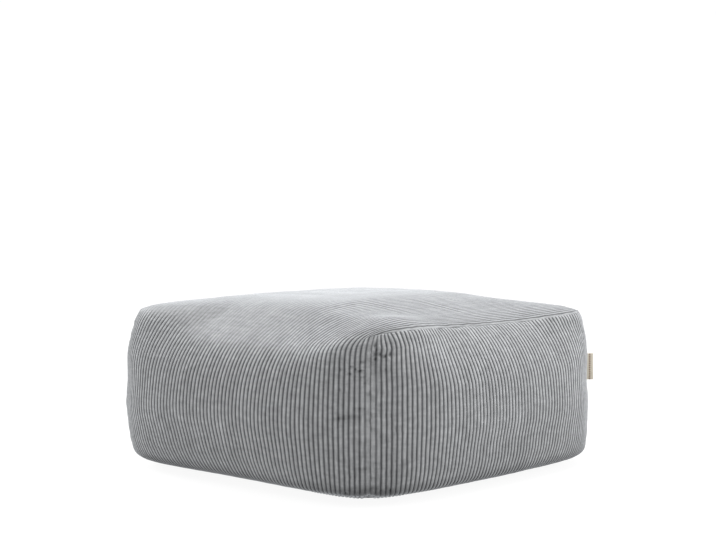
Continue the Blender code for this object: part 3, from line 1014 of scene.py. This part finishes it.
def grey_corduroy():
    material, tree, surface = new_material("grey_corduroy")
    places, across, _ = map_of(tree)
    wear_and_shade, level, hollow = (mark_of(tree, name) for name in ("wear_and_shade", "level", "hollow"))
    rib = reckoned(tree, "DIVIDE", across, PITCH)
    twice = reckoned(tree, "MULTIPLY", reckoned(tree, "FRACT", rib), 2.0)
    from_crest = reckoned(tree, "ABSOLUTE", reckoned(tree, "SUBTRACT", twice, 1.0))
    from_seam = reckoned(tree, "MINIMUM", rib, reckoned(tree, "SUBTRACT", RIBS, rib))
    open_rib = between(tree, from_seam, *SEAM_RIBS, SEAM_STRIPES, 1.0)
    open_rib = product(tree, open_rib, reckoned(tree, "SUBTRACT", 1.0, wear_and_shade))
    colour = striped(tree, from_crest, open_rib)

    one_each = node(tree, "TexWhiteNoise", noise_dimensions="1D")
    fed(tree, one_each, W=reckoned(tree, "FLOOR", rib))
    shades = [between(tree, one_each.outputs[0], 0.0, 1.0, *RIB_SHADES, "LINEAR")]
    for *look, darkest, lightest in BRUSHED_SHADES:
        patches = noise(tree, places, *look)
        shades.append(between(tree, patches, *NOISE_RANGE, darkest, lightest, "LINEAR"))
    # painted shade on the worn and the level top
    for mark, darker in ((wear_and_shade, WORN_PAINTED_SHADE), (level, LEVEL_PAINTED_SHADE)):
        shades.append(between(tree, mark, 0.0, 1.0, 1.0, 1 - darker, "LINEAR"))
    at = fed(tree, node(tree, "SeparateXYZ"), Vector=node(tree, "TexCoord").outputs["Object"])
    # painted shade: darker towards the floor and darkest underneath
    for low, high, darkest in PAINTED_SHADE_BELOW:
        shades.append(between(tree, at.outputs[2], low, high, darkest, 1.0))
    # painted shade in the puckers and gathers, weaker on the crests
    deep = product(tree, between(tree, hollow, 0.0, HOLLOW_DEPTH, 0.0, HOLLOW_PAINTED_SHADE),
                   between(tree, from_crest, *HOLLOW_AT, HOLLOW_ON_CREST, 1.0))
    shades.append(reckoned(tree, "SUBTRACT", 1.0, deep))
    colour = shaded(tree, colour, product(tree, *shades))

    fibres = product(tree, noise(tree, places, *FIBRES), 0.5)
    pile = reckoned(tree, "ADD", fibres, noise(tree, places, *TUFTS))
    bump = fed(tree, node(tree, "Bump"), Height=pile, Strength=0.5, Distance=0.0005)
    fed(tree, surface, Base_Color=colour, Normal=bump.outputs[0], Roughness=0.93, Sheen_Weight=0.65,
        Sheen_Roughness=0.40, Sheen_Tint=SHEEN, Specular_IOR_Level=0.15)
    return material


# %% Cream ribbon
CREAM = (0.73, 0.67, 0.56, 1.0)
BROWN = (0.20, 0.11, 0.06, 1.0)
THREAD = 0.0008
THREAD_SHADES = (0.80, 1.05)
STITCH_STEP = 0.0034
STITCH_SHARE = 0.60  # of a step is thread
STITCH_WIDTH = 0.0030
STITCH_LINE = SEAM_DEPTH + LABEL_REACH * 0.55  # from the ribbon's hidden end


def cream_ribbon():
    material, tree, surface = new_material("cream_ribbon")
    _, across, along = map_of(tree)
    folded = reckoned(tree, "PINGPONG", across, LABEL_REACH + SEAM_DEPTH)
    from_line = reckoned(tree, "ABSOLUTE", reckoned(tree, "SUBTRACT", folded, STITCH_LINE))
    stitch = reckoned(tree, "FRACT", reckoned(tree, "DIVIDE", along, STITCH_STEP))
    marked = product(tree, reckoned(tree, "LESS_THAN", from_line, STITCH_WIDTH / 2),
                     reckoned(tree, "LESS_THAN", stitch, STITCH_SHARE))
    turns = (reckoned(tree, "MULTIPLY", way, 2 * math.pi / THREAD) for way in (across, along))
    weave = product(tree, *(reckoned(tree, "SINE", turn) for turn in turns))
    weave = between(tree, weave, -1.0, 1.0, 0.0, 1.0)
    colour = blended(tree, marked, CREAM, BROWN)
    colour = shaded(tree, colour, between(tree, weave, 0.0, 1.0, *THREAD_SHADES, "LINEAR"))
    bump = fed(tree, node(tree, "Bump"), Height=weave, Strength=0.6, Distance=0.0002)
    fed(tree, surface, Base_Color=colour, Normal=bump.outputs[0], Roughness=0.75, Sheen_Weight=0.15,
        Specular_IOR_Level=0.25)
    return material


cloth_finish = grey_corduroy()
for piece in (wrap_piece, base_piece, *end_pieces):
    piece.data.materials.append(cloth_finish)
label_piece.data.materials.append(cream_ribbon())
print("finishes:", [material.name for material in bpy.data.materials if material.users])

# %% [markdown]
# ## Floor and light
# The floor is a wide pale dish, because a plain plane would end in a line. A large soft light from above
# makes the top the brightest part. Two slightly weaker ones, behind on the right and out on the left, pick
# out the round sides, and a pale room fills the shadows.

# %% Floor
FLOOR_REACH = 7.0
FLOOR_RISE = 2.5
FLOOR_SIDES, FLOOR_STEPS = 96, 12
FLOOR_GREY = (0.12, 0.12, 0.12, 1.0)
WHITE = (1.0, 1.0, 1.0, 1.0)
GLOW = 0.92  # the dish gives its own light, so it stays white up to the footstool

bpy.ops.object.select_all(action="DESELECT")
bpy.ops.mesh.primitive_circle_add(vertices=FLOOR_SIDES, radius=FLOOR_REACH, fill_type="NGON",
                                  location=(0, 0, 0))
floor = bpy.context.object
floor.name = "floor"
bpy.ops.object.mode_set(mode="EDIT")
bpy.ops.mesh.select_mode(type="EDGE")
reach, height = FLOOR_REACH, 0.0
for step in range(1, FLOOR_STEPS + 1):
    angle = math.radians(90) * step / FLOOR_STEPS
    next_reach = FLOOR_REACH + FLOOR_RISE * math.sin(angle)
    next_height = FLOOR_RISE * (1 - math.cos(angle))
    bpy.ops.mesh.extrude_edges_move(TRANSFORM_OT_translate={"value": (0, 0, next_height - height)})
    grow = next_reach / reach
    bpy.ops.transform.resize(value=(grow, grow, 1.0), center_override=(0, 0, 0))
    reach, height = next_reach, next_height
bpy.ops.object.mode_set(mode="OBJECT")
bpy.ops.object.shade_smooth_by_angle(angle=math.radians(60))
pale, pale_tree, pale_surface = new_material("pale_floor")
fed(pale_tree, pale_surface, Base_Color=FLOOR_GREY, Roughness=0.9, Specular_IOR_Level=0.1,
    Emission_Color=WHITE, Emission_Strength=GLOW)
floor.data.materials.append(pale)
print("floor:", len(floor.data.polygons), "faces")


# %% Light
LIGHT_AIM = (0.0, 0.0, 0.15)
LIGHTS = (
    # name, place, size, watts
    ("overhead", (0.0, 0.9, 2.6), 2.2, 84),
    ("right_side", (2.4, 3.0, 1.3), 1.6, 75),
    ("left_side", (-3.1, -0.5, 1.6), 1.6, 70),
)
ROOM_LIGHT = 0.70


def softbox(name, place, size, watts):
    data = bpy.data.lights.new(name, "AREA")
    data.shape = "DISK"
    data.size = size
    data.energy = watts
    light = bpy.data.objects.new(name, data)
    light.location = place
    light.rotation_euler = (Vector(LIGHT_AIM) - Vector(place)).to_track_quat("-Z", "Y").to_euler()
    bpy.context.scene.collection.objects.link(light)


for row in LIGHTS:
    softbox(*row)
world = bpy.data.worlds.new("white_room")
world.use_nodes = True
fed(world.node_tree, world.node_tree.nodes["Background"], Color=WHITE, Strength=ROOM_LIGHT)
bpy.context.scene.world = world
bpy.context.scene.view_settings.view_transform = "Standard"

# %% [markdown]
# ## Camera
# The camera looks at the front corner from about knee height, a little down. A long lens from three metres
# keeps the two sides from narrowing too fast, as a wide lens close by would make them.

# %% Camera
CAMERA_PLACE = (2.0748, -2.2801, 0.5333)
CAMERA_TURN, CAMERA_DOWN = math.radians(42.3), math.radians(3.5)
SENSOR_WIDTH, FOCAL_LENGTH = 36.0, 87.4  # in millimetres

camera_data = bpy.data.cameras.new("camera")
camera_data.sensor_width = SENSOR_WIDTH
camera_data.lens = FOCAL_LENGTH
camera = bpy.data.objects.new("camera", camera_data)
camera.location = CAMERA_PLACE
camera.rotation_euler = (math.radians(90) - CAMERA_DOWN, 0.0, CAMERA_TURN)
bpy.context.scene.collection.objects.link(camera)
bpy.context.scene.camera = camera
print("camera:", round(camera.location.length, 2), "m from the middle of the underside")
